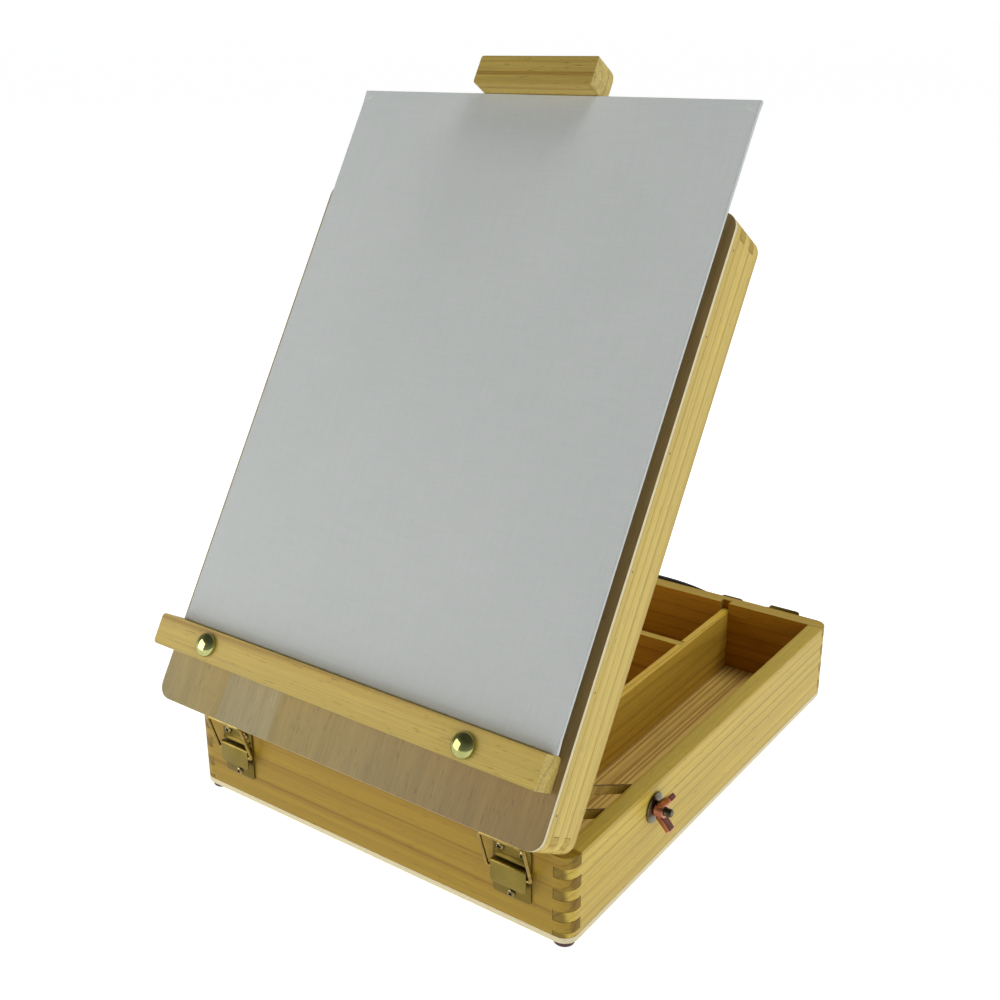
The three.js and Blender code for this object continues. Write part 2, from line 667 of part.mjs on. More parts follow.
// Each stay hangs on its pivot in the lid and points at its bolt in the wall.
const pivotInLid = new THREE.Vector2(STAY_A, STAY_N).rotateAround(new THREE.Vector2(), TILT);
const stayPivot = pivotInLid.add(lidBottom);
for (const [side, sign] of [['left', -1], ['right', 1]]) {
  const arm = node(`stay_${side}`, stay(sign * (INNER_X - FIT - STAY_T / 2)), 'steel');
  arm.position.set(0, stayPivot.x, stayPivot.y);
  arm.rotation.x = Math.atan2(STAY_BOLT_Z - stayPivot.y, STAY_BOLT_Y - stayPivot.x);
  easel.add(arm);
}

easel.updateMatrixWorld(true);
export default easel;
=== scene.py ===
# Looks of the tabletop box easel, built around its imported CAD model.
# Metres, in the CAD's own frame: +X to the painter's right, +Y towards the handle, +Z up.
# Small metal parts are drawn in millimetres, in a frame of their own, and then put in place.

import json
import math

import bmesh
import bpy
from mathutils import Matrix, Vector


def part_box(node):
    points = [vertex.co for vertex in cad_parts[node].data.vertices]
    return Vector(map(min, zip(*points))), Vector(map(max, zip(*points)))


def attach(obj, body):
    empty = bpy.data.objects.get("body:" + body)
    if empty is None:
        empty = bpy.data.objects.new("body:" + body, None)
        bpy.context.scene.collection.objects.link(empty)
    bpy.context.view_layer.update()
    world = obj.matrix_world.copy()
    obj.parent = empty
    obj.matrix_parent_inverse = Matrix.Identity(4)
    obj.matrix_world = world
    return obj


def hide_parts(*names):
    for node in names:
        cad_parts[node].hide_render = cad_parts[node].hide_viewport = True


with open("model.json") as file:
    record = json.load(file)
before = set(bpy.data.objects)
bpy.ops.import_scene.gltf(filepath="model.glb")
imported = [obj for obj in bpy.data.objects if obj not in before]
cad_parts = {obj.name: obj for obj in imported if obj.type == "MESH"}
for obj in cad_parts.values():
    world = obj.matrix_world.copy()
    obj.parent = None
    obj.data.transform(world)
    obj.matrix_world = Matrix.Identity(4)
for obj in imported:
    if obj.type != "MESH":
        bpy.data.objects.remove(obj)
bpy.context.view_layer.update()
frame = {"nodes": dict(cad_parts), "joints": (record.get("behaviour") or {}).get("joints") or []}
NODES = frame["nodes"]
JOINTS = {joint["name"]: joint for joint in frame["joints"]}

MM = 0.001
X, Y, Z = Vector((1, 0, 0)), Vector((0, 1, 0)), Vector((0, 0, 1))
SIDES = (("left", -1), ("right", 1))
ENDS = ("front", "rear")


# ---------------------------------------------------------------- places

def span(node, axis):
    """The lowest and highest place of a CAD node along an axis."""
    places = [v.co.dot(axis) for v in NODES[node].data.vertices]
    return min(places), max(places)


def middle(node):
    low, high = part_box(node)
    return (low + high) / 2


def placed(origin, x, y, z):
    """A frame whose units are millimetres, with its axes along x, y and z."""
    turn = Matrix((x, y, z)).transposed().to_4x4()
    return Matrix.Translation(origin) @ turn @ Matrix.Scale(MM, 4)


def stand(base, origin, up, side):
    """A frame inside another: its Z along up, and its X along side."""
    up, side = Vector(up).normalized(), Vector(side).normalized()
    turn = Matrix((side, up.cross(side), up)).transposed().to_4x4()
    return base @ Matrix.Translation(origin) @ turn


TILT = -math.radians(JOINTS["lid_tilt"]["range_deg"][0])
UP_LID = Vector((0, math.cos(TILT), math.sin(TILT)))
OUT_LID = Vector((0, -math.sin(TILT), math.cos(TILT)))

# The box's frame starts at the middle of its front, under its base. The lid's frame starts at
# the middle of its bottom edge: its Y runs up the plywood face and its Z stands out of it.
BOX = placed(Y * span("front_wall", Y)[0] + Z * span("base_panel", Z)[0], X, Y, Z)
LID = placed(UP_LID * span("lid_panel", UP_LID)[0] + OUT_LID * span("lid_panel", OUT_LID)[1],
             X, UP_LID, OUT_LID)
BOX_DEPTH = (span("rear_wall", Y)[1] - span("front_wall", Y)[0]) / MM
HALF_WIDTH = span("right_wall", X)[1] / MM


# ---------------------------------------------------------------- meshes

def rounded(corners, steps=6):
    """A closed outline through corners (x, y, cut): each corner is rounded over its cut."""
    points = []
    for i, (x, y, cut) in enumerate(corners):
        here = Vector((x, y))
        if cut == 0:
            points.append(here)
            continue
        before = Vector(corners[i - 1][:2]) - here
        after = Vector(corners[(i + 1) % len(corners)][:2]) - here
        start = here + before.normalized() * cut
        end = here + after.normalized() * cut
        for k in range(steps + 1):
            t = k / steps
            points.append(start * (1 - t) ** 2 + here * 2 * t * (1 - t) + end * t ** 2)
    return points


def rectangle(width, low, high, cut):
    half = width / 2
    return rounded([(-half, low, cut), (half, low, cut), (half, high, cut), (-half, high, cut)])


def circle(x, y, radius, steps=32):
    turns = [2 * math.pi * k / steps for k in range(steps)]
    return [Vector((x + radius * math.cos(t), y + radius * math.sin(t))) for t in turns]


def stadium(x0, x1, radius, steps=16):
    """Two half circles joined by straight sides, along X."""
    points = []
    for centre, start in ((x1, -math.pi / 2), (x0, math.pi / 2)):
        for k in range(steps + 1):
            t = start + math.pi * k / steps
            points.append(Vector((centre + radius * math.cos(t), radius * math.sin(t))))
    return points


def solid(obj):
    """The final mesh of a helper object, which is then removed."""
    bpy.context.view_layer.update()
    graph = bpy.context.evaluated_depsgraph_get()
    mesh = bpy.data.meshes.new_from_object(obj.evaluated_get(graph))
    mesh.materials.clear()
    bpy.data.objects.remove(obj)
    return mesh


def helper(data):
    obj = bpy.data.objects.new("helper", data)
    bpy.context.scene.collection.objects.link(obj)
    return obj


def plate(outline, thickness, edge, holes=()):
    """A flat plate in XY, about Z = 0, with its edges rounded off by edge."""
    curve = bpy.data.curves.new("plate", "CURVE")
    curve.dimensions = "2D"
    curve.fill_mode = "BOTH"
    curve.extrude = thickness / 2 - edge
    curve.bevel_depth = edge
    curve.bevel_resolution = 2
    curve.offset = -edge
    for loop in (outline, *holes):
        spline = curve.splines.new("POLY")
        spline.points.add(len(loop) - 1)
        spline.use_cyclic_u = True
        for point, place in zip(spline.points, loop):
            point.co = (place.x, place.y, 0, 1)
    return welded(solid(helper(curve)))


def wire(points, radius):
    """A round wire along points, with its ends filled."""
    curve = bpy.data.curves.new("wire", "CURVE")
    curve.dimensions = "3D"
    curve.bevel_depth = radius
    curve.bevel_resolution = 4
    curve.use_fill_caps = True
    spline = curve.splines.new("POLY")
    spline.points.add(len(points) - 1)
    for point, place in zip(spline.points, points):
        point.co = (*place, 1)
    return welded(solid(helper(curve)))


def welded(mesh):
    """The mesh with its doubled vertices merged and its faces pointing out."""
    shape = bmesh.new()
    shape.from_mesh(mesh)
    bmesh.ops.remove_doubles(shape, verts=shape.verts, dist=1e-4)
    bmesh.ops.recalc_face_normals(shape, faces=shape.faces)
    shape.to_mesh(mesh)
    shape.free()
    return mesh


def lathe(profile, sides=64, closed=False):
    """A shape turned about Z, from pairs of (radius, height)."""
    shape = bmesh.new()
    rings = []
    for radius, height in profile:
        if radius == 0:
            rings.append([shape.verts.new((0, 0, height))])
            continue
        turns = [2 * math.pi * k / sides for k in range(sides)]
        rings.append([shape.verts.new((radius * math.cos(t), radius * math.sin(t), height))
                      for t in turns])
    pairs = list(zip(rings, rings[1:]))
    if closed:
        pairs.append((rings[-1], rings[0]))
    for low, high in pairs:
        for k in range(sides):
            after = (k + 1) % sides
            corners = [low[k % len(low)], low[after % len(low)],
                       high[after % len(high)], high[k % len(high)]]
            shape.faces.new(dict.fromkeys(corners))
    bmesh.ops.recalc_face_normals(shape, faces=shape.faces)
    return finished(shape)


def finished(shape, name="mesh"):
    mesh = bpy.data.meshes.new(name)
    shape.to_mesh(mesh)
    shape.free()
    return mesh


def moved(mesh, matrix):
    """A copy of a mesh, moved, turned or mirrored."""
    copy = mesh.copy()
    copy.transform(matrix)
    if matrix.determinant() < 0:
        copy.flip_normals()
    return copy


def joined(*meshes):
    shape = bmesh.new()
    for mesh in meshes:
        shape.from_mesh(mesh)
    return finished(shape)


def with_modifier(mesh, kind, **settings):
    obj = helper(mesh)
    modifier = obj.modifiers.new(kind, kind)
    for key, value in settings.items():
        setattr(modifier, key, value)
    return solid(obj)


def cut(mesh, tool):
    cutter = helper(tool)
    result = with_modifier(mesh, "BOOLEAN", operation="DIFFERENCE", object=cutter, solver="EXACT")
    bpy.data.objects.remove(cutter)
    return result


def block(low, high):
    """A plain block between two corners, for cutting with or as part of a bigger shape."""
    shape = bmesh.new()
    bmesh.ops.create_cube(shape, size=1)
    low, high = Vector(low), Vector(high)
    size = Matrix.Diagonal((*(high - low), 1))
    shape.transform(Matrix.Translation((low + high) / 2) @ size)
    return finished(shape)


def piece(name, mesh, place, material, body, replaces=(), sharp=35):
    """A finished piece: put in place, shaded, and riding on its body."""
    mesh = moved(mesh, place)
    mesh.name = name
    for face in mesh.polygons:
        face.use_smooth = True
    mesh.set_sharp_from_angle(angle=math.radians(sharp))
    mesh.materials.append(material)
    obj = bpy.data.objects.new(name, mesh)
    bpy.context.scene.collection.objects.link(obj)
    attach(obj, body)
    if replaces:
        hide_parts(*replaces)
    return obj


# ---------------------------------------------------------------- shading

class Shade:
    """A material and its nodes. Each call adds a node and returns its output."""

    def __init__(self, name):
        self.material = bpy.data.materials.new(name)
        self.material.use_nodes = True
        self.tree = self.material.node_tree
        self.tree.nodes.clear()
        output = self.tree.nodes.new("ShaderNodeOutputMaterial")
        self.surface = self.tree.nodes.new("ShaderNodeBsdfPrincipled")
        self.tree.links.new(self.surface.outputs["BSDF"], output.inputs["Surface"])
        coordinates = self.tree.nodes.new("ShaderNodeTexCoord")
        self.place = coordinates.outputs["Object"]
        self.normal = coordinates.outputs["Normal"]

    def put(self, socket, value):
        if isinstance(value, bpy.types.NodeSocket):
            self.tree.links.new(value, socket)
        elif value is not None:
            socket.default_value = value

    def set(self, **values):
        for key, value in values.items():
            self.put(self.surface.inputs[key.replace("_", " ")], value)

    def node(self, kind, *values, **settings):
        node = self.tree.nodes.new(kind)
        for key, value in settings.items():
            setattr(node, key, value)
        for socket, value in zip(node.inputs, values):
            self.put(socket, value)
        return node

    def math(self, operation, *values):
        return self.node("ShaderNodeMath", *values, operation=operation).outputs[0]

    def vector(self, operation, *values):
        node = self.node("ShaderNodeVectorMath", *values, operation=operation)
        scalar = operation in ("DOT_PRODUCT", "LENGTH")
        return node.outputs["Value" if scalar else "Vector"]

    def along(self, *axes):
        """The place measured along three axes."""
        parts = [self.vector("DOT_PRODUCT", self.place, tuple(axis)) for axis in axes]
        return self.node("ShaderNodeCombineXYZ", *parts).outputs[0]

    def split(self, vector):
        return self.node("ShaderNodeSeparateXYZ", vector).outputs

    def noise(self, vector, detail=2.0, roughness=0.5):
        node = self.node("ShaderNodeTexNoise")
        for key, value in (("Vector", vector), ("Scale", 1.0), ("Detail", detail),
                           ("Roughness", roughness)):
            self.put(node.inputs[key], value)
        return node.outputs["Fac"]

    def random(self, number):
        node = self.node("ShaderNodeTexWhiteNoise", noise_dimensions="1D")
        self.put(node.inputs["W"], number)
        return node.outputs["Value"]

    def between(self, value, low, high, to_low=0.0, to_high=1.0, smooth=False):
        node = self.node("ShaderNodeMapRange", value, low, high, to_low, to_high)
        node.interpolation_type = "SMOOTHSTEP" if smooth else "LINEAR"
        return node.outputs[0]

    def ramp(self, factor, stops):
        """Colours or greys at places from 0 to 1."""
        node = self.node("ShaderNodeValToRGB", factor)
        ramp = node.color_ramp
        while len(ramp.elements) < len(stops):
            ramp.elements.new(0.5)
        for element, (place, colour) in zip(ramp.elements, stops):
            element.position = place
            grey = isinstance(colour, (int, float))
            element.color = (colour,) * 3 + (1,) if grey else (*colour, 1)
        return node.outputs["Color"]

    def mix(self, factor, a, b, blend="MIX"):
        node = self.tree.nodes.new("ShaderNodeMix")
        node.data_type = "RGBA"
        node.blend_type = blend
        self.put(node.inputs["Factor"], factor)
        for socket, value in ((node.inputs[6], a), (node.inputs[7], b)):
            self.put(socket, (*value, 1) if isinstance(value, tuple) else value)
        return node.outputs[2]

    def bump(self, height, strength, distance):
        node = self.tree.nodes.new("ShaderNodeBump")
        self.put(node.inputs["Height"], height)
        self.put(node.inputs["Strength"], strength)
        self.put(node.inputs["Distance"], distance)
        self.set(Normal=node.outputs[0])


def scaled(colour, factor):
    return tuple(channel * factor for channel in colour)


EARLY_WOOD = (0.610, 0.462, 0.105)
LATE_WOOD = (0.360, 0.205, 0.022)
LATE_SHARE = 0.95           # how far the darkest ring goes towards late wood

# One growth ring from its start to the next: pale for most of the way, then a late dark line.
RING = [(0, 0.15), (0.04, 0.02), (0.62, 0.06), (0.84, 0.35), (0.93, 1), (1, 0.15)]


def pine(name, grain, pith, spacing, tone, figure, ends, inner=None):
    """Varnished pine. Growth rings lie round a pith line that runs along the grain, so a board
    shows straight lines, arches or end-grain arcs according to how its face cuts them. The
    rings waver by figure, in metres. Cut ends are tinted by ends, with painted light where
    that tint is above one. The faces that look along inner's direction get painted shade
    from inner's tint."""
    shade = Shade(name)
    grain = Vector(grain).normalized()
    across = grain.orthogonal().normalized()
    side = grain.cross(across)
    board = shade.along(across, side, grain)
    centre = (Vector(pith).dot(across), Vector(pith).dot(side), 0)

    bend = shade.noise(shade.vector("MULTIPLY", board, (11, 11, 1.6)), detail=2)
    offset = shade.vector("SUBTRACT", board, centre)
    radius = shade.vector("LENGTH", shade.vector("MULTIPLY", offset, (1, 1, 0)))
    wavy = shade.math("MULTIPLY_ADD", bend, figure, radius)
    rings = shade.math("DIVIDE", wavy, spacing * MM)
    uneven = shade.noise(shade.vector("MULTIPLY", board, (34, 34, 0.8)), detail=1)
    rings = shade.math("MULTIPLY_ADD", uneven, 0.9, rings)
    part = shade.math("FRACT", rings)
    share = shade.between(shade.random(shade.math("FLOOR", rings)), 0, 1, 0.45, 1.0)
    line = shade.math("MULTIPLY", shade.ramp(part, RING), share)
    late = shade.math("MULTIPLY", line, LATE_SHARE)

    # Fibres, streaks, resin flecks and broad bands all run along the grain.
    fibre = shade.noise(shade.vector("MULTIPLY", board, (1100, 1100, 16)), detail=3, roughness=0.6)
    streak = shade.noise(shade.vector("MULTIPLY", board, (420, 420, 3)), detail=2)
    fleck = shade.noise(shade.vector("MULTIPLY", board, (1100, 1100, 110)), detail=1)
    fleck = shade.between(fleck, 0.66, 0.73)
    band = shade.noise(shade.vector("MULTIPLY", board, (60, 60, 0.9)), detail=2)

    early = tuple(a * b for a, b in zip(EARLY_WOOD, tone))
    dark = tuple(a * b for a, b in zip(LATE_WOOD, tone))
    colour = shade.mix(shade.between(band, 0.35, 0.75, 0, 0.30), early, dark)
    colour = shade.mix(late, colour, dark)
    colour = shade.mix(0.60, colour, shade.between(fibre, 0.25, 0.75, 0.74, 1.26), "MULTIPLY")
    colour = shade.mix(0.60, colour, shade.between(streak, 0.3, 0.7, 0.86, 1.14), "MULTIPLY")
    colour = shade.mix(shade.math("MULTIPLY", fleck, 0.45), colour, scaled(dark, 0.50))

    # Cut ends are greyer and darker, with open pores, unless their tint lightens them as painted
    # light.
    facing = shade.vector("DOT_PRODUCT", shade.normal, tuple(grain))
    end = shade.between(shade.math("ABSOLUTE", facing), 0.7, 0.92, smooth=True)
    pores = shade.noise(shade.vector("MULTIPLY", board, (1500, 420, 900)), detail=2)
    cut_face = shade.mix(1.0, colour, ends, "MULTIPLY")
    cut_face = shade.mix(shade.between(pores, 0.45, 0.75, 0, 0.40), cut_face, scaled(dark, 0.5))
    colour = shade.mix(end, colour, cut_face)
    # Painted shade: the faces that look into the box are darkened and warmed by a tint.
    if inner:
        side_faced, tint = inner
        turned_in = shade.vector("DOT_PRODUCT", shade.normal, tuple(side_faced))
        painted_shade = shade.mix(1.0, colour, tint, "MULTIPLY")
        colour = shade.mix(shade.between(turned_in, 0.7, 0.9), colour, painted_shade)

    rough = shade.between(fibre, 0.3, 0.7, 0.40, 0.55)
    shade.set(Base_Color=colour, Roughness=shade.math("MULTIPLY_ADD", end, 0.2, rough),
              Coat_Weight=0.08, Coat_Roughness=0.35, Specular_IOR_Level=0.25)
    relief = shade.math("MULTIPLY_ADD", late, 0.6, fibre)
    shade.bump(shade.math("MULTIPLY_ADD", fleck, -0.8, relief), 0.30, 0.00012)
    return shade.material


PLY = 0.0015                # from one pale ply to the next, in metres


def plywood(name, across, grain, face, bands, fleck=1.0, stripes=None):
    """Sliced veneer: strips of different tone side by side, with short dark flecks, and pale
    plies on the edges. bands are (place in mm, colour) across the sheet, and stripes is the
    colour of dark streaks along the grain."""
    shade = Shade(name)
    sheet = shade.along(across, grain, face)
    wander = shade.noise(shade.vector("MULTIPLY", sheet, (12, 7, 1)), detail=2)
    x = shade.math("MULTIPLY_ADD", wander, 0.006, shade.split(sheet)[0])
    first, last = bands[0][0] * MM, bands[-1][0] * MM
    reach = last - first
    stops = [((place * MM - first) / reach, colour) for place, colour in bands]
    strips = shade.ramp(shade.between(x, first, last), stops)

    fine = shade.noise(shade.vector("MULTIPLY", sheet, (1500, 45, 1)), detail=3, roughness=0.65)
    broad = shade.noise(shade.vector("MULTIPLY", sheet, (160, 9, 1)), detail=3)
    dash = shade.noise(shade.vector("MULTIPLY", sheet, (1000, 130, 1)), detail=1)
    dash = shade.between(dash, 0.64, 0.74)
    if stripes:
        streak = shade.noise(shade.vector("MULTIPLY", sheet, (290, 1.5, 1)), detail=1)
        strips = shade.mix(shade.between(streak, 0.42, 0.60), strips, stripes)
    colour = shade.mix(1.0, strips, shade.between(fine, 0.25, 0.75, 0.84, 1.16), "MULTIPLY")
    colour = shade.mix(0.8, colour, shade.between(broad, 0.3, 0.7, 0.90, 1.10), "MULTIPLY")
    colour = shade.mix(shade.math("MULTIPLY", dash, 0.40 * fleck), colour, (0.13, 0.08, 0.03))

    # On the edges the plies show, pale outside and darker in the core.
    facing = shade.math("ABSOLUTE", shade.vector("DOT_PRODUCT", shade.normal, tuple(face)))
    edge = shade.between(facing, 0.85, 0.6)
    depth = shade.vector("DOT_PRODUCT", shade.place, tuple(face))
    ply = shade.math("SINE", shade.math("MULTIPLY", depth, 2 * math.pi / PLY))
    speck = shade.noise(shade.vector("MULTIPLY", sheet, (260, 260, 900)), detail=2)
    pale = shade.mix(shade.between(ply, 0.2, 0.9), (0.72, 0.65, 0.42), (0.64, 0.56, 0.33))
    pale = shade.mix(shade.between(speck, 0.5, 0.8, 0, 0.25), pale, (0.30, 0.23, 0.09))
    colour = shade.mix(edge, colour, pale)
    shade.set(Base_Color=colour, Roughness=shade.between(fine, 0.3, 0.7, 0.48, 0.62),
              Coat_Weight=0.06, Coat_Roughness=0.4, Specular_IOR_Level=0.3)
    relief = shade.math("MULTIPLY_ADD", dash, -1.0, fine)
    relief = shade.math("MULTIPLY", relief, shade.math("SUBTRACT", 1.0, edge))
    shade.bump(relief, 0.35, 0.00010)
    return shade.material


def metal(name, colour, dull, roughness=0.28, grain=(220, 220, 220), patina=0.5, scratch=0.05):
    """Plated metal: a bright colour that turns dull in soft patches, with fine scratches."""
    shade = Shade(name)
    patch = shade.noise(shade.vector("MULTIPLY", shade.place, grain), detail=4, roughness=0.6)
    fine = shade.noise(shade.vector("MULTIPLY", shade.place, (3500, 1400, 700)), detail=2)
    colour = shade.mix(shade.between(patch, 0.40, 0.70, 0, patina), colour, dull)
    colour = shade.mix(0.5, colour, shade.between(fine, 0.3, 0.7, 0.9, 1.1), "MULTIPLY")
    rough = shade.between(patch, 0.3, 0.7, roughness * 0.8, roughness * 1.4)
    rough = shade.math("MULTIPLY_ADD", fine, scratch, rough)
    shade.set(Base_Color=colour, Roughness=rough, Metallic=1.0)
    shade.bump(shade.math("ADD", fine, patch), 0.12, 0.00004)
    return shade.material


THREAD = 0.00062            # from one thread of the canvas to the next but one, in metres


def canvas_cloth(name, across, along_cloth, face):
    """Primed plain weave: over-and-under bumps of two sets of threads, with slubs."""
    shade = Shade(name)
    sheet = shade.along(across, along_cloth, face)
    slub = shade.noise(shade.vector("MULTIPLY", sheet, (45, 1500, 1)), detail=2)
    slub_across = shade.noise(shade.vector("MULTIPLY", sheet, (1500, 45, 1)), detail=2)
    x, y, _ = shade.split(sheet)
    turns = 2 * math.pi / THREAD
    warp = shade.math("SINE", shade.math("MULTIPLY_ADD", slub, 1.2,
                                         shade.math("MULTIPLY", x, turns)))
    weft = shade.math("SINE", shade.math("MULTIPLY_ADD", slub_across, 1.2,
                                         shade.math("MULTIPLY", y, turns)))
    weave = shade.math("MULTIPLY", warp, weft)
    threads = shade.math("ADD", slub, slub_across)
    mottled = shade.noise(shade.vector("MULTIPLY", sheet, (9, 9, 1)), detail=2)
    colour = shade.ramp(shade.between(mottled, 0.3, 0.7), [(0, (0.575, 0.600, 0.580)),
                                                          (1, (0.595, 0.618, 0.598))])
    colour = shade.mix(1.0, colour, shade.between(weave, -1, 1, 0.95, 1.02), "MULTIPLY")
    colour = shade.mix(1.0, colour, shade.between(threads, 0.7, 1.3, 0.965, 1.03), "MULTIPLY")
    shade.set(Base_Color=colour, Roughness=shade.between(weave, -1, 1, 0.80, 0.70),
              Specular_IOR_Level=0.25)
    shade.bump(shade.math("MULTIPLY_ADD", threads, 0.8, weave), 0.35, 0.00016)
    return shade.material


def plain_stuff(name, colour, other, roughness, size):
    """Rubber, card and the like: one colour with soft mottling and a fine grainy surface. size
    is how many soft patches there are to a metre, and the grains are twelve times finer."""
    shade = Shade(name)
    soft = shade.noise(shade.vector("MULTIPLY", shade.place, (size,) * 3), detail=3)
    grain = shade.noise(shade.vector("MULTIPLY", shade.place, (size * 12,) * 3), detail=2)
    tint = shade.mix(shade.between(soft, 0.35, 0.7), colour, other)
    shade.set(Base_Color=tint,
              Roughness=shade.between(grain, 0.3, 0.7, roughness - 0.08, roughness + 0.08))
    shade.bump(grain, 0.2, 0.0001)
    return shade.material


# ---------------------------------------------------------------- wooden boards

def finish_board(name, material, edge):
    """A carried-over CAD board: eased edges and its own material."""
    obj = NODES[name]
    obj.data.materials.clear()
    obj.data.materials.append(material)
    weld = obj.modifiers.new("weld", "WELD")
    weld.merge_threshold = 1e-5
    bevel = obj.modifiers.new("ease", "BEVEL")
    bevel.width = edge * MM
    bevel.segments = 3
    bevel.limit_method = "ANGLE"
    bevel.angle_limit = math.radians(40)
    bevel.use_clamp_overlap = True
    normals = obj.modifiers.new("normals", "WEIGHTED_NORMAL")
    normals.keep_sharp = False
    for face in obj.data.polygons:
        face.use_smooth = True


# Each board: grain, pith from the board's middle in mm, ring spacing in mm, and its tint.
BOARDS = {
    "right_wall": (Y, (60, 0, -70), 6.5, (0.97, 0.95, 0.66)),
    "left_wall": (Y, (-40, 0, -80), 7.0, (0.97, 0.94, 0.85)),
    # The front wall's tint is partly its own warmer wood and partly painted shade from the lid
    # above it.
    "front_wall": (X, (0, 70, -62), 11.0, (0.57, 0.48, 0.14)),
    "rear_wall": (X, (0, -50, -70), 8.5, (0.90, 0.82, 0.60)),
    "long_divider": (Y, (26, 0, 9), 6.5, (1.22, 1.10, 0.68)),
    "cross_divider": (X, (0, 44, -16), 8.0, (0.95, 0.88, 0.60)),
    "lid_right_rail": (UP_LID, (70, 30, -50), 6.0, (1.00, 1.00, 0.95)),
    "lid_left_rail": (UP_LID, (-40, 50, -62), 7.5, (0.98, 0.95, 0.85)),
    "lid_top_rail": (X, (0, 60, 40), 8.0, (0.95, 0.92, 0.80)),
    "lid_bottom_rail": (X, (0, -40, -50), 8.0, (0.95, 0.92, 0.80)),
    "canvas_ledge": (X, (0, 26, -34), 9.0, (0.94, 0.92, 0.88)),
    "mast": (UP_LID, (30, 40, 20), 7.0, (0.95, 0.92, 0.80)),
    "clamp_block": (X, (0, -9, 4), 7.5, (0.70, 0.68, 0.74)),
}
# What differs from the usual board: how far its edges are eased in mm, how much its rings
# waver in metres, its cut ends' tint (painted light on some) and painted shade on inner faces.
USUAL_EASE = 0.6
EASED = {"canvas_ledge": 0.9, "clamp_block": 1.2, "mast": 0.8, "long_divider": 0.5,
         "cross_divider": 0.5}
USUAL_FIGURE = 0.004
FIGURE = {"long_divider": 0.012, "canvas_ledge": 0.006}
USUAL_END = (0.62, 0.58, 0.60)
END_GRAIN_AND_PAINTED_LIGHT = {
    "right_wall": (0.38, 0.34, 0.24),
    "left_wall": (0.38, 0.34, 0.24),
    "front_wall": (0.72, 0.70, 0.90),
    "rear_wall": (0.72, 0.70, 0.90),
    "lid_top_rail": (0.80, 0.78, 0.85),
    "lid_bottom_rail": (0.92, 0.91, 0.94),
    # The ledge's and the clamp block's tints lighten their cut ends: painted light from the side.
    "canvas_ledge": (0.96, 1.00, 1.30),
    "clamp_block": (1.40, 1.54, 2.10),
}
# Painted shade for the faces that look into the box: the direction they face and their tint.
INNER_PAINTED_SHADE = {
    "rear_wall": (-Y, (0.78, 0.50, 0.10)),
    "front_wall": (Y, (0.95, 0.75, 0.50)),
    "cross_divider": (-Y, (0.80, 0.52, 0.15)),
}

# The plywood's strips: where each tone lies across the sheet, from the middle in mm.
TAN, GREY = (0.345, 0.255, 0.078), (0.340, 0.280, 0.135)
LID_VENEER = [(-158, (0.335, 0.262, 0.105)), (-98, TAN), (-97, GREY), (-51, GREY), (-50, TAN),
              (30, (0.325, 0.240, 0.095)), (108, (0.300, 0.208, 0.080)),
              (158, (0.290, 0.195, 0.070))]
TRAY_FLOOR = [(-158, (0.58, 0.41, 0.11)), (0, (0.62, 0.44, 0.12)), (158, (0.69, 0.49, 0.14))]
TRAY_STRIPES = (0.41, 0.24, 0.06)


def wooden_parts():
    for name, (grain, pith, spacing, tone) in BOARDS.items():
        material = pine(name + "_pine", grain, middle(name) + Vector(pith) * MM, spacing, tone,
                        FIGURE.get(name, USUAL_FIGURE), END_GRAIN_AND_PAINTED_LIGHT.get(name, USUAL_END),
                        INNER_PAINTED_SHADE.get(name))
        finish_board(name, material, EASED.get(name, USUAL_EASE))

    face = plywood("lid_veneer", X, UP_LID, OUT_LID, LID_VENEER)
    finish_board("lid_panel", face, 0.35)
    base = plywood("base_veneer", X, Y, Z, TRAY_FLOOR, fleck=0.6, stripes=TRAY_STRIPES)
    finish_board("base_panel", base, 0.4)


# ---------------------------------------------------------------- fasteners

SHANK_R, THREAD_R = 2.75, 2.9


def threaded(radius, low, high, pitch=1.0, depth=0.38, sides=40):
    """A rod with a screw thread round it, about Z, that narrows at its high end."""
    rows = int((high - low) / pitch * 6)
    shape = bmesh.new()
    rings = []
    for row in range(rows + 1):
        height = low + (high - low) * row / rows
        taper = min(1.0, (high - height + 0.15) / 0.8)
        ring = []
        for k in range(sides):
            turn = k / sides
            wave = abs(((height / pitch - turn) % 1.0) * 2 - 1)
            r = (radius - depth * wave) * (0.86 + 0.14 * taper)
            angle = 2 * math.pi * turn
            ring.append(shape.verts.new((r * math.cos(angle), r * math.sin(angle), height)))
        rings.append(ring)
    for a, b in zip(rings, rings[1:]):
        for k in range(sides):
            after = (k + 1) % sides
            shape.faces.new((a[k], a[after], b[after], b[k]))
    shape.faces.new(rings[-1])
    shape.faces.new(list(reversed(rings[0])))
    return finished(shape)


def dome(radius, height, steps=14):
    """The profile of a domed head from its rim up to its top."""
    turns = [math.pi / 2 * k / steps for k in range(steps + 1)]
    points = [(radius * math.cos(t), height * math.sin(t)) for t in turns]
    points[-1] = (0, height)
    return points


def carriage_bolt(head_r, head_h, length, thread_from, neck_r=THREAD_R, neck=3.0):
    """A domed head above Z = 0 and its shank below: the neck, a plain stretch and the thread."""
    rim = 0.5
    head = [(neck_r, 0), (head_r - rim, 0), (head_r, rim)]
    head += [(r, h + rim) for r, h in dome(head_r, head_h - rim)[1:]]
    plain_end = -thread_from - 0.5
    shank = [(0, plain_end), (SHANK_R, plain_end), (SHANK_R, -neck - 0.2), (neck_r, -neck)]
    body = lathe(shank + head)
    thread = moved(threaded(THREAD_R, 0, length - thread_from),
                   Matrix.Translation((0, 0, -thread_from)) @ Matrix.Rotation(math.pi, 4, "X"))
    return joined(body, thread)


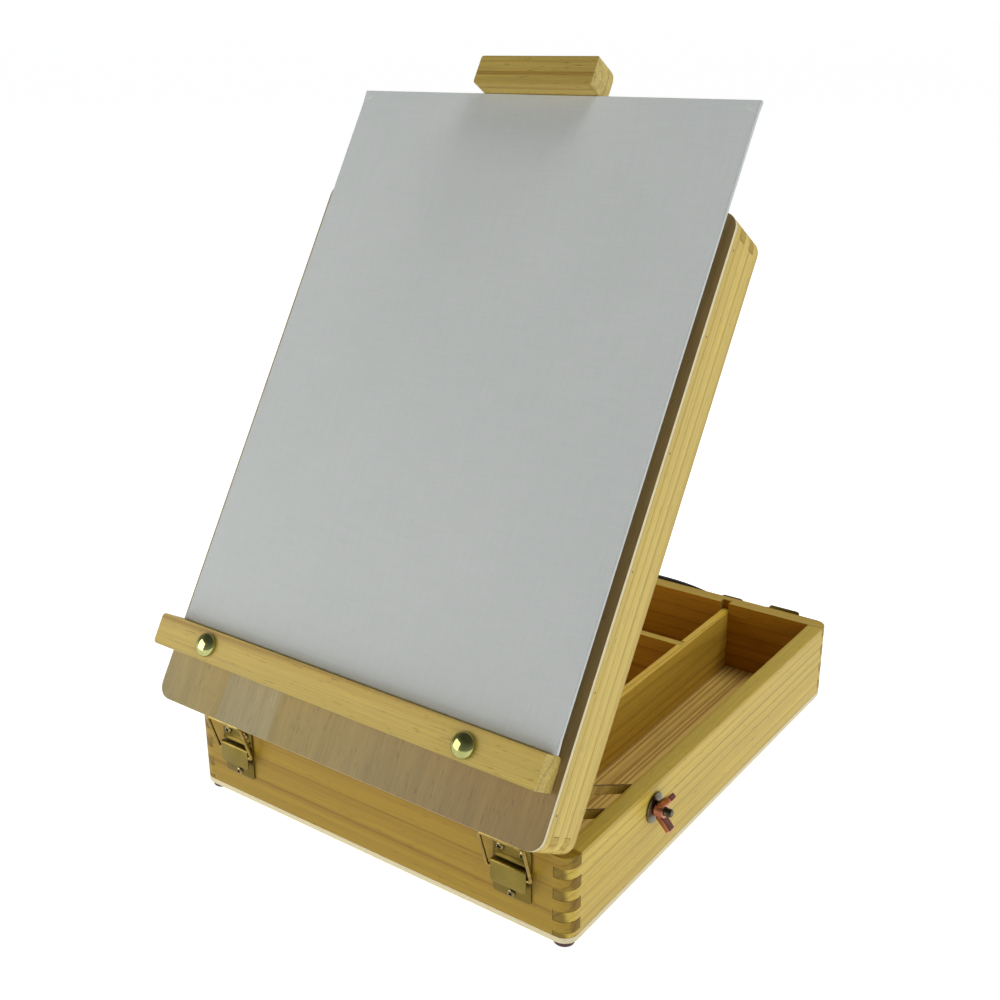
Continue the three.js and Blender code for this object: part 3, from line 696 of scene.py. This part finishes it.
def wing_nut_mesh():
    """A cast wing nut standing on Z = 0: a conical hub with two flared wings along X."""
    bore, hub, top = 3.05, 5.2, 6.5
    body = lathe([(bore, 0.0), (hub, 0.0), (hub + 0.1, 0.8), (hub - 0.8, top), (bore, top)],
                 sides=48, closed=True)
    wings = []
    for side in (-1, 1):
        outline = rounded([(side * 3.8, 2.2, 0), (side * 5.4, 1.1, 0.6),
                           (side * 14.2, 9.8, 0.5), (side * 11.4, 12.4, 0.5),
                           (side * 4.0, 6.0, 0.8)])
        if side < 0:
            outline.reverse()
        wing = plate(outline, 7.0, edge=0.9)
        wings.append(moved(wing, Matrix.Rotation(math.pi / 2, 4, "X")))
    cast = with_modifier(joined(body, *wings), "REMESH", mode="VOXEL", voxel_size=0.34,
                         adaptivity=0.0)
    return with_modifier(cast, "SMOOTH", factor=0.5, iterations=2)


def cross_screw(radius=3.2, height=2.1, depth=1.3, arm=0.44):
    """A pan head with a cross recess, on Z = 0."""
    rim = 0.5
    profile = [(0, -0.2), (radius - 0.15, -0.2), (radius, 0.0), (radius, rim)]
    profile += [(r, h + rim) for r, h in dome(radius, height - rim, 8)[1:]]
    head = lathe(profile, sides=40)
    low, reach = height - depth, radius * 0.52
    for x, y in ((reach, arm * radius / 2.4), (arm * radius / 2.4, reach)):
        head = cut(head, block((-x, -y, low), (x, y, height + 1)))
    return head


# ---------------------------------------------------------------- metals

FINISHES = {}


def finishes():
    FINISHES.update(
        brass=metal("brass_plate", (0.235, 0.178, 0.040), (0.155, 0.115, 0.025), 0.28,
                    grain=(40, 40, 40), patina=0.60),
        plate=metal("dull_brass_plate", (0.175, 0.127, 0.025), (0.110, 0.077, 0.0155), 0.34,
                    grain=(40, 40, 40), patina=0.60),
        wire=metal("bail_wire", (0.32, 0.22, 0.05), (0.14, 0.09, 0.02), 0.24),
        screw=metal("screw_head", (0.33, 0.27, 0.12), (0.08, 0.06, 0.025), 0.16,
                    grain=(500, 500, 500), patina=0.9),
        dome=metal("dome_bolt", (0.45, 0.47, 0.19), (0.24, 0.23, 0.045), 0.08,
                   grain=(45, 45, 45), patina=0.7, scratch=0.02),
        copper=metal("copper_nut", (0.62, 0.27, 0.19), (0.24, 0.07, 0.035), 0.20,
                     grain=(70, 70, 70), patina=0.8),
        dark=metal("antique_steel", (0.15, 0.13, 0.075), (0.045, 0.035, 0.018), 0.28, patina=0.8),
        zinc=metal("yellow_zinc", (0.30, 0.19, 0.026), (0.17, 0.10, 0.014), 0.42,
                   grain=(120, 120, 120), patina=0.7),
        strap=plain_stuff("handle_rubber", (0.012, 0.012, 0.012), (0.022, 0.021, 0.020), 0.55, 90),
        foot=plain_stuff("foot_rubber", (0.050, 0.016, 0.013), (0.075, 0.028, 0.022), 0.55, 120),
        card=plain_stuff("backing_card", (0.25, 0.235, 0.205), (0.30, 0.28, 0.245), 0.85, 60),
    )


def detail(node, mesh, place, finish, body, slot):
    """The finished piece that stands in for a CAD node."""
    piece(f"{node}.detail", mesh, place, FINISHES[finish], body, [node])


# ---------------------------------------------------------------- side hardware

STAY_AT = (144.0, 27.0, -14.0)      # pivot, in the lid's frame
BOLT_AT = (100.6, 44.7)             # bolt: back from the front wall's face, and up
HEAD_AT = 142.4                     # the heads of bolt and pivot bear on the stay here
STAY_LENGTH = 133.3                 # between the middles of its round ends
STAY_HALF = 10.5
STAY_SLOT = (49.8, 130.2, 4.8)      # its ends' middles and half its width
STAY_T = 2.5
BOLT_PAST = 13                      # how far the bolt's end stands out of the wall
WASHER_GAP, NUT_GAP = 0.3, 1.9      # from the wall to the washer and to the nut

# A stamped washer: a flat ring, thinner towards its rim.
WASHER = [(3.3, 0.05), (10.2, 0.0), (10.5, 0.35), (10.4, 0.85), (9.9, 1.15), (6.0, 1.3),
          (3.5, 1.3), (3.3, 1.1)]


def side_hardware(nut):
    """The stays, their pivots, and the bolts, washers and wing nuts in the side walls."""
    for side, sign in SIDES:
        out = (sign, 0, 0)
        seat = stand(BOX, (sign * HEAD_AT, *BOLT_AT), (-sign, 0, 0), (0, 0, 1))
        length = HALF_WIDTH + BOLT_PAST - HEAD_AT
        bolt = carriage_bolt(7, 4, length, 14, neck_r=2.0)
        detail(f"stay_bolt_{side}", bolt, seat, "dark", "root", "dark_steel")
        place = stand(BOX, (sign * (HALF_WIDTH + WASHER_GAP), *BOLT_AT), out, (0, 0, 1))
        detail(f"stay_washer_{side}", lathe(WASHER, 72, closed=True), place, "dark", "root",
               "dark_steel")
        place = stand(BOX, (sign * (HALF_WIDTH + NUT_GAP), *BOLT_AT), out, (0, 0, 1))
        detail(f"stay_wing_nut_{side}", nut, place, "copper", f"stay_wing_nut_{side}",
               "copper_plate")

        pivot = LID @ Vector((sign * STAY_AT[0], *STAY_AT[1:]))
        far_end = BOX @ Vector((sign * STAY_AT[0], *BOLT_AT))
        run = (far_end - pivot).normalized()
        bar = plate(stadium(0, STAY_LENGTH, STAY_HALF), STAY_T, 0.35,
                    [stadium(*STAY_SLOT), circle(0, 0, 2.5)])
        detail(f"stay_{side}", bar, placed(pivot, run, X.cross(run), X), "zinc", f"stay_{side}",
               "yellow_zinc")
        place = stand(LID, (sign * HEAD_AT, *STAY_AT[1:]), (-sign, 0, 0), (0, 1, 0))
        shank = lathe([(0, -11.5), (1.6, -11.0), (2.1, -3), (2.1, 0.1), (0, 0.1)], 32)
        detail(f"stay_pivot_{side}", joined(cross_screw(4.5, 2.6), shank), place, "zinc", "lid",
               "yellow_zinc")


# ---------------------------------------------------------------- ledge and mast bolts

LEDGE_BOLTS = {"left": (-110.9, 45.6), "right": (101.4, 44.4)}
MAST_BOLT_UP = 232.0
LEDGE_FRONT, MAST_SEAT = 20.3, 5.2  # where the heads bear, out from the plywood's face
PANEL_BACK = -3.3                   # where the nuts bear, behind it


def lid_bolts(nut):
    """The bolts of the ledge and the mast, with their wing nuts behind the plywood."""
    for side, (x, up) in LEDGE_BOLTS.items():
        seat = stand(LID, (x, up, LEDGE_FRONT), (0, 0, 1), (1, 0, 0))
        detail(f"ledge_bolt_{side}", carriage_bolt(8, 5.0, 37.3, 26), seat, "dome", "lid",
               "bolt_zinc")
        place = stand(LID, (x, up, PANEL_BACK), (0, 0, -1), (1, 0, 0))
        detail(f"ledge_wing_nut_{side}", nut, place, "copper", f"ledge_wing_nut_{side}",
               "copper_plate")
    seat = stand(LID, (0, MAST_BOLT_UP, MAST_SEAT), (0, 0, 1), (1, 0, 0))
    detail("mast_bolt", carriage_bolt(6.2, 2.7, 22.2, 10), seat, "dome", "mast", "bolt_zinc")
    place = stand(LID, (0, MAST_BOLT_UP, PANEL_BACK), (0, 0, -1), (1, 0, 0))
    detail("mast_wing_nut", nut, place, "copper", "mast_wing_nut", "copper_plate")


# ---------------------------------------------------------------- latches

LATCH_X = 116.7                     # from the middle of the box
REAR_UP = 3.5                       # the rear pair sits this much higher
LATCH_W, LATCH_LOW, LATCH_HIGH = 28.0, 19.5, 57.5
LEVER_W, LEVER_LOW, ROLL_R = 26.0, 29.0, 1.9
LEVER_AT = (3.8, 43.0)              # its pivot: out from the wall, and up
LEVER_OPEN = math.radians(150)
BAIL_AT = (4.2, 38.8)
BAIL_BAR = (13.3, 67.2)
BAIL_HALF, BAIL_BEND, WIRE_R = 16.3, 2.4, 1.3
BAIL_RATIO = 1.975                  # the bail drops this much for each degree of lever

# Latch pieces are drawn on a wall that is the plane Y = 0, and stand out of it towards -Y.


def sideways(outline, width, edge):
    """A section in (Y, Z) pushed along X, about X = 0."""
    bar = plate(outline, width, edge)
    turn = Matrix(((0, 0, 1, 0), (1, 0, 0, 0), (0, 1, 0, 0), (0, 0, 0, 1)))
    return moved(bar, turn)


def ribbon(path, thickness):
    """The outline of a bent sheet: a path and the same path pushed aside."""
    path = [Vector(p) for p in path]
    shifted = []
    for i, here in enumerate(path):
        run = path[min(i + 1, len(path) - 1)] - path[max(i - 1, 0)]
        shifted.append(here + Vector((-run.y, run.x)).normalized() * thickness)
    return path + shifted[::-1]


def upright(mesh):
    """A plate drawn in XY, stood up in XZ."""
    return moved(mesh, Matrix.Rotation(math.pi / 2, 4, "X"))


def latch_plate(screw):
    """The plate with its curled lip, and its three screws."""
    sheet = upright(plate(rectangle(LATCH_W, LATCH_LOW, LATCH_HIGH, 2.6), 1.0, 0.22))
    sheet.transform(Matrix.Translation((0, -0.8, 0)))
    curl = [(-1.0, 51.2), (-1.25, 50.6), (-1.9, 49.9), (-2.7, 49.2), (-3.3, 48.3), (-3.5, 47.3)]
    lip = sideways(ribbon(curl, 0.9), 24.0, 0.15)
    screws = [moved(screw, stand(Matrix(), (x, -1.3, z), (0, -1, 0), side))
              for x, z, side in ((-8.2, 53.6, (1, 0, 0.4)), (8.2, 53.6, (1, 0, -0.7)),
                                 (0, 22.8, (1, 0, 0.9)))]
    return joined(sheet, lip), joined(*screws)


def latch_lever():
    """The lever, drawn with its pivot along X through the origin: a flat face with rounded
    lower corners, rolled over at its top, and a cheek at each side."""
    out, up = LEVER_AT
    half, cheek = LEVER_W / 2, 0.8
    outline = rounded([(-half, LEVER_LOW, 2.8), (half, LEVER_LOW, 2.8), (half, up - 0.4, 0),
                       (-half, up - 0.4, 0)])
    face = upright(plate(outline, 1.0, 0.22))
    face.transform(Matrix.Translation((0, -out - 1.3, 0)))
    turns = [math.radians(d) for d in range(195, -61, -15)]
    roll = [(-out + ROLL_R * math.cos(t), up + ROLL_R * math.sin(t)) for t in turns]
    knuckle = sideways(ribbon(roll, -0.9), LEVER_W, 0.2)
    cheeks = [block((x, -out - 1.2, 36.5), (x + cheek, -out + 1.2, up))
              for x in (-half, half - cheek)]
    lever = joined(face, knuckle, *cheeks)
    lever.transform(Matrix.Translation((0, out, -up)))
    return lever


def latch_bail():
    """The wire loop, drawn with its ends' axis along X through the origin."""
    length = math.hypot(BAIL_BAR[0] - BAIL_AT[0], BAIL_BAR[1] - BAIL_AT[1])
    inner, half, bend = 12.6, BAIL_HALF, BAIL_BEND
    corners = [(-inner, 0, 0), (-half, 0, bend), (-half, length, bend + 0.8),
               (half, length, bend + 0.8), (half, 0, bend), (inner, 0, 0)]
    points = rounded(corners, steps=8)
    return wire([(p.x, 0, p.y) for p in points], WIRE_R)


def latches():
    screw = cross_screw(2.8, 1.9, 1.4)
    sheet, screws = latch_plate(screw)
    lever, bail = latch_lever(), latch_bail()
    lean = math.atan2(BAIL_BAR[0] - BAIL_AT[0], BAIL_BAR[1] - BAIL_AT[1])
    for end in ENDS:
        for side, sign in SIDES:
            tag = f"{end}_{side}"
            if end == "front":
                wall = BOX @ Matrix.Translation((sign * LATCH_X, 0, 0))
                opened = 0.0
            else:
                wall = (BOX @ Matrix.Translation((sign * LATCH_X, BOX_DEPTH, REAR_UP))
                        @ Matrix.Rotation(math.pi, 4, "Z"))
                opened = LEVER_OPEN
            detail(f"latch_plate_{tag}", sheet, wall, "plate", "root", "brass")
            piece(f"latch_screws_{tag}", screws, wall, FINISHES["screw"], "root")
            pivot = (wall @ Matrix.Translation((0, -LEVER_AT[0], LEVER_AT[1]))
                     @ Matrix.Rotation(-opened, 4, "X"))
            detail(f"latch_lever_{tag}", lever, pivot, "brass", f"latch_lever_{tag}", "brass")
            hook = (pivot @ Matrix.Translation((0, LEVER_AT[0] - BAIL_AT[0],
                                                BAIL_AT[1] - LEVER_AT[1]))
                    @ Matrix.Rotation(lean + BAIL_RATIO * opened, 4, "X"))
            detail(f"latch_bail_{tag}", bail, hook, "wire", f"latch_bail_{tag}", "brass")
            catch(tag, end, sign, screw)


def catch(tag, end, sign, screw):
    """The catch on an end face of the lid, with the lip that holds the bail's bar."""
    place = LID @ Matrix.Translation((sign * LATCH_X, 0, 0))
    if end == "rear":
        place = (LID @ Matrix.Translation((sign * LATCH_X, BOX_DEPTH, REAR_UP))
                 @ Matrix.Rotation(math.pi, 4, "Z"))
    sheet = upright(plate(rectangle(26, -38, -31, 1.4), 0.9, 0.2))
    sheet.transform(Matrix.Translation((0, -0.8, 0)))
    lip = [(-1.0, -37.2), (-4.8, -37.2), (-5.7, -36.8), (-6.1, -35.9), (-6.2, -32.8)]
    hook = sideways(ribbon(lip, -0.9), 10, 0.15)
    heads = [moved(screw, stand(Matrix(), (x, -1.25, -34.5), (0, -1, 0), (1, 0, 0.5)))
             for x in (-9.6, 9.6)]
    detail(f"latch_catch_{tag}", joined(sheet, hook), place, "plate", "lid", "brass")
    piece(f"catch_screws_{tag}", joined(*heads), place, FINISHES["screw"], "lid")


# ---------------------------------------------------------------- handle, feet and board

HANDLE_HALF = 72.0                  # from the middle to the screwed ends
HANDLE_Z = 47.5
STRAP_H, STRAP_T, STRAP_BOW = 20.0, 3.4, 10.0
STRAP_GAP = 2.0                     # from the wall to the strap's flat ends
STRAP_FLAT, STRAP_PAST = 16, 5.7    # the ends: how long they lie flat, and run past the screws
STITCH_PITCH = 2.6
CAP_T = 1.6


def strap_mesh():
    """A moulded strap: thick rims, a shallow field between them, and a row of stitches."""
    half, rim, flat = STRAP_H / 2, STRAP_T / 2, HANDLE_HALF - STRAP_FLAT
    across = [(-half, 0.55), (-half + 0.7, 1.0), (-half + 2.2, 1.0), (-half + 3.0, 0.72)]
    stations = 260
    shape = bmesh.new()
    rings = []
    for i in range(stations + 1):
        x = (HANDLE_HALF + STRAP_PAST) * (2 * i / stations - 1)
        rise = max(0.0, 1 - abs(x / flat) ** 2.4) ** 1.1 * STRAP_BOW + STRAP_GAP + rim
        stitch = 0.22 if (x / STITCH_PITCH) % 1 < 0.62 else 0.0
        low = across + [(-half + 4.0, 0.74), (-half + 4.5, 0.74 + stitch),
                        (-half + 5.0, 0.74), (-half + 6.0, 0.72)]
        outer = low + [(-z, t) for z, t in reversed(low)]
        ring = [(z, rise + t * rim) for z, t in outer]
        ring += [(z, rise - t * rim) for z, t in reversed(outer)]
        rings.append([shape.verts.new((x, y, z)) for z, y in ring])
    count = len(rings[0])
    for a, b in zip(rings, rings[1:]):
        for k in range(count):
            after = (k + 1) % count
            shape.faces.new((a[k], a[after], b[after], b[k]))
    shape.faces.new(rings[0])
    shape.faces.new(list(reversed(rings[-1])))
    bmesh.ops.recalc_face_normals(shape, faces=shape.faces)
    return finished(shape)


def handle(screw):
    place = BOX @ Matrix.Translation((0, BOX_DEPTH, HANDLE_Z))
    detail("handle_strap", strap_mesh(), place, "strap", "root", "strap")
    cap_out = STRAP_GAP + STRAP_T + CAP_T
    for side, sign in SIDES:
        finish_board(f"handle_end_{side}", FINISHES["brass"], 0.8)
        heads = [moved(screw, stand(Matrix(), (sign * HANDLE_HALF, cap_out, z), (0, 1, 0),
                                    (1, 0, lean)))
                 for z, lean in ((-5.5, 0.3), (5.5, 0.8))]
        piece(f"handle_screws_{side}", joined(*heads), place, FINISHES["screw"], "root")


def feet():
    profile = [(0, 0.4), (2.2, 0.4), (2.6, 0.0), (5.6, 0.0), (6.6, 0.5), (7.0, 1.5),
               (6.8, 4.4), (6.6, 4.7), (0, 4.7)]
    foot = lathe(profile, 56)
    for end in ENDS:
        for side, _ in SIDES:
            name = f"foot_{end}_{side}"
            low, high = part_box(name)
            centre = Vector(((low.x + high.x) / 2, (low.y + high.y) / 2, low.z))
            detail(name, foot, placed(centre, X, Y, Z), "foot", "root", "foot")


def canvas_board():
    """A card board with canvas glued over its face and turned over its four edges."""
    cloth = canvas_cloth("primed_canvas", X, UP_LID, OUT_LID)
    low_x, high_x = (place / MM for place in span("canvas_board", X))
    low, high = ((place - LID.translation.dot(UP_LID)) / MM
                 for place in span("canvas_board", UP_LID))
    back, front = ((place - LID.translation.dot(OUT_LID)) / MM
                   for place in span("canvas_board", OUT_LID))
    width, height, turned_in, flap = high_x - low_x, high - low, 15.0, 0.45
    centre_x = (low_x + high_x) / 2

    face = plate(rectangle(width, low, high, 0.7), front - back - flap, 0.85)
    face.transform(Matrix.Translation((0, 0, (front + back + flap) / 2)))
    hem = plate(rectangle(width - 0.6, low + 0.3, high - 0.3, 1.5), flap, 0.15,
                [list(reversed(rectangle(width - 2 * turned_in, low + turned_in,
                                         high - turned_in, 0)))])
    hem.transform(Matrix.Translation((0, 0, back + flap / 2)))
    folds = []
    for x, side in ((-width / 2, 1), (width / 2, -1)):
        for y, rise in ((low, 1), (high, -1)):
            # The cloth folded under at a corner makes it a little fatter.
            points = ((-0.55, 0.1, 0.8), (9, 0.2, 1), (7.5, 6.5, 1.2), (0, 9, 1))
            corner = rounded([(x + side * a, y + rise * b, ease) for a, b, ease in points])
            if side * rise < 0:
                corner.reverse()
            fold = plate(corner, front - back + 0.2, 0.9)
            fold.transform(Matrix.Translation((0, 0, (front + back) / 2 + 0.1)))
            folds.append(fold)
    board = LID @ Matrix.Translation((centre_x, 0, 0))
    piece("canvas_board.detail", joined(face, hem, *folds), board, cloth, "canvas",
          ["canvas_board"])
    card = plate(rectangle(width - 2 * turned_in + 0.4, low + turned_in, high - turned_in, 0),
                 0.30, 0.05)
    card.transform(Matrix.Translation((0, 0, back + 0.3)))
    piece("canvas_board_card", card, board, FINISHES["card"], "canvas")


BRADS_UP = (24, 96, 168, 240, 312, 366)
BRAD_BACK = -6.0                    # behind the plywood's face


def brads():
    """Headless nails in the side rails of the lid."""
    head = lathe([(0, -0.6), (0.75, -0.6), (0.75, 0.04), (0.5, 0.10), (0, 0.02)], 20)
    for side, sign in SIDES:
        heads = []
        for up in BRADS_UP:
            place = stand(Matrix(), (sign * HALF_WIDTH, up, BRAD_BACK), (sign, 0, 0), (0, 1, 0))
            heads.append(moved(head, place))
        piece(f"lid_brads_{side}", joined(*heads), LID, FINISHES["dark"], "lid")


# ---------------------------------------------------------------- studio

def aim(obj, target):
    run = Vector(target) - obj.location
    obj.rotation_euler = run.to_track_quat("-Z", "Y").to_euler()


def area_light(name, place, target, size, power):
    data = bpy.data.lights.new(name, "AREA")
    data.shape = "RECTANGLE"
    data.size, data.size_y = size
    data.energy = power
    obj = bpy.data.objects.new(name, data)
    bpy.context.scene.collection.objects.link(obj)
    obj.location = place
    aim(obj, target)
    return obj


def studio():
    """A white floor without an edge, a key light, three fills and a soft grey surround."""
    shape = bmesh.new()
    bmesh.ops.create_circle(shape, cap_ends=True, segments=96, radius=30)
    floor = bpy.data.objects.new("floor", finished(shape, "floor"))
    bpy.context.scene.collection.objects.link(floor)
    shade = Shade("pale_floor")
    shade.set(Base_Color=(0.45, 0.45, 0.45, 1), Roughness=0.9, Specular_IOR_Level=0.1,
              Emission_Color=(1, 1, 1, 1), Emission_Strength=0.92)
    floor.data.materials.append(shade.material)

    middle_of_easel = (0, 0, 0.2)
    area_light("key", (-1.05, -1.20, 0.50), middle_of_easel, (1.1, 1.0), 12)
    fills = (area_light("side", (2.2, -0.5, 0.8), middle_of_easel, (1.4, 1.0), 9.5),
             area_light("top", (0.5, 0.8, 2.2), middle_of_easel, (1.2, 1.2), 24),
             area_light("back", (-0.5, 2.4, 1.2), middle_of_easel, (1.6, 1.2), 8))
    for light in fills:                 # only the key light shows in polished metal
        light.visible_glossy = False

    world = bpy.data.worlds.new("studio")
    bpy.context.scene.world = world
    world.use_nodes = True
    tree = world.node_tree
    background = tree.nodes["Background"]
    background.inputs["Color"].default_value = (0.94, 0.95, 0.97, 1)
    # The surround is brighter at the horizon than overhead, so that polished metal has a dark
    # side, and the camera sees it white.
    direction = tree.nodes.new("ShaderNodeTexCoord")
    height = tree.nodes.new("ShaderNodeSeparateXYZ")
    dimming = tree.nodes.new("ShaderNodeMapRange")
    tree.links.new(direction.outputs["Generated"], height.inputs[0])
    tree.links.new(height.outputs["Z"], dimming.inputs["Value"])
    for name, value in (("From Min", 0.0), ("From Max", 0.8), ("To Min", 0.38), ("To Max", 0.10)):
        dimming.inputs[name].default_value = value
    backdrop = tree.nodes.new("ShaderNodeLightPath")
    white = tree.nodes.new("ShaderNodeMath")
    white.operation = "ADD"
    tree.links.new(dimming.outputs[0], white.inputs[0])
    tree.links.new(backdrop.outputs["Is Camera Ray"], white.inputs[1])
    tree.links.new(white.outputs[0], background.inputs["Strength"])
    bpy.context.scene.view_settings.view_transform = "Standard"


CAMERA_AT = (488.2, -549.2, 528.8)          # in the box's frame
CAMERA_TURNS = (38.471, 20.95, -1.41)       # degrees: round to the right, down, and leaning
LENS, LENS_SHIFT = 47.10, (0.0800, 0.0066)


def camera():
    """From the front right and a little above, with the easel to one side of the lens."""
    azimuth, elevation, roll = map(math.radians, CAMERA_TURNS)
    forward = Vector((-math.sin(azimuth) * math.cos(elevation),
                      math.cos(azimuth) * math.cos(elevation), -math.sin(elevation)))
    right = forward.cross(Z).normalized()
    up = right.cross(forward)
    leaned = right * math.cos(roll) + up * math.sin(roll)
    up = up * math.cos(roll) - right * math.sin(roll)
    data = bpy.data.cameras.new("camera")
    data.sensor_width = 36
    data.lens = LENS
    data.shift_x, data.shift_y = LENS_SHIFT
    data.clip_start = 0.02
    data.clip_end = 100
    obj = bpy.data.objects.new("camera", data)
    bpy.context.scene.collection.objects.link(obj)
    turn = Matrix((leaned, up, -forward)).transposed().to_4x4()
    obj.matrix_world = Matrix.Translation(BOX @ Vector(CAMERA_AT)) @ turn
    bpy.context.scene.camera = obj


# ---------------------------------------------------------------- assembly

camera()
studio()
finishes()
wooden_parts()
wing_nut = wing_nut_mesh()
side_hardware(wing_nut)
lid_bolts(wing_nut)
latches()
handle(cross_screw(2.6, 1.6, 1.0))
feet()
canvas_board()
brads()
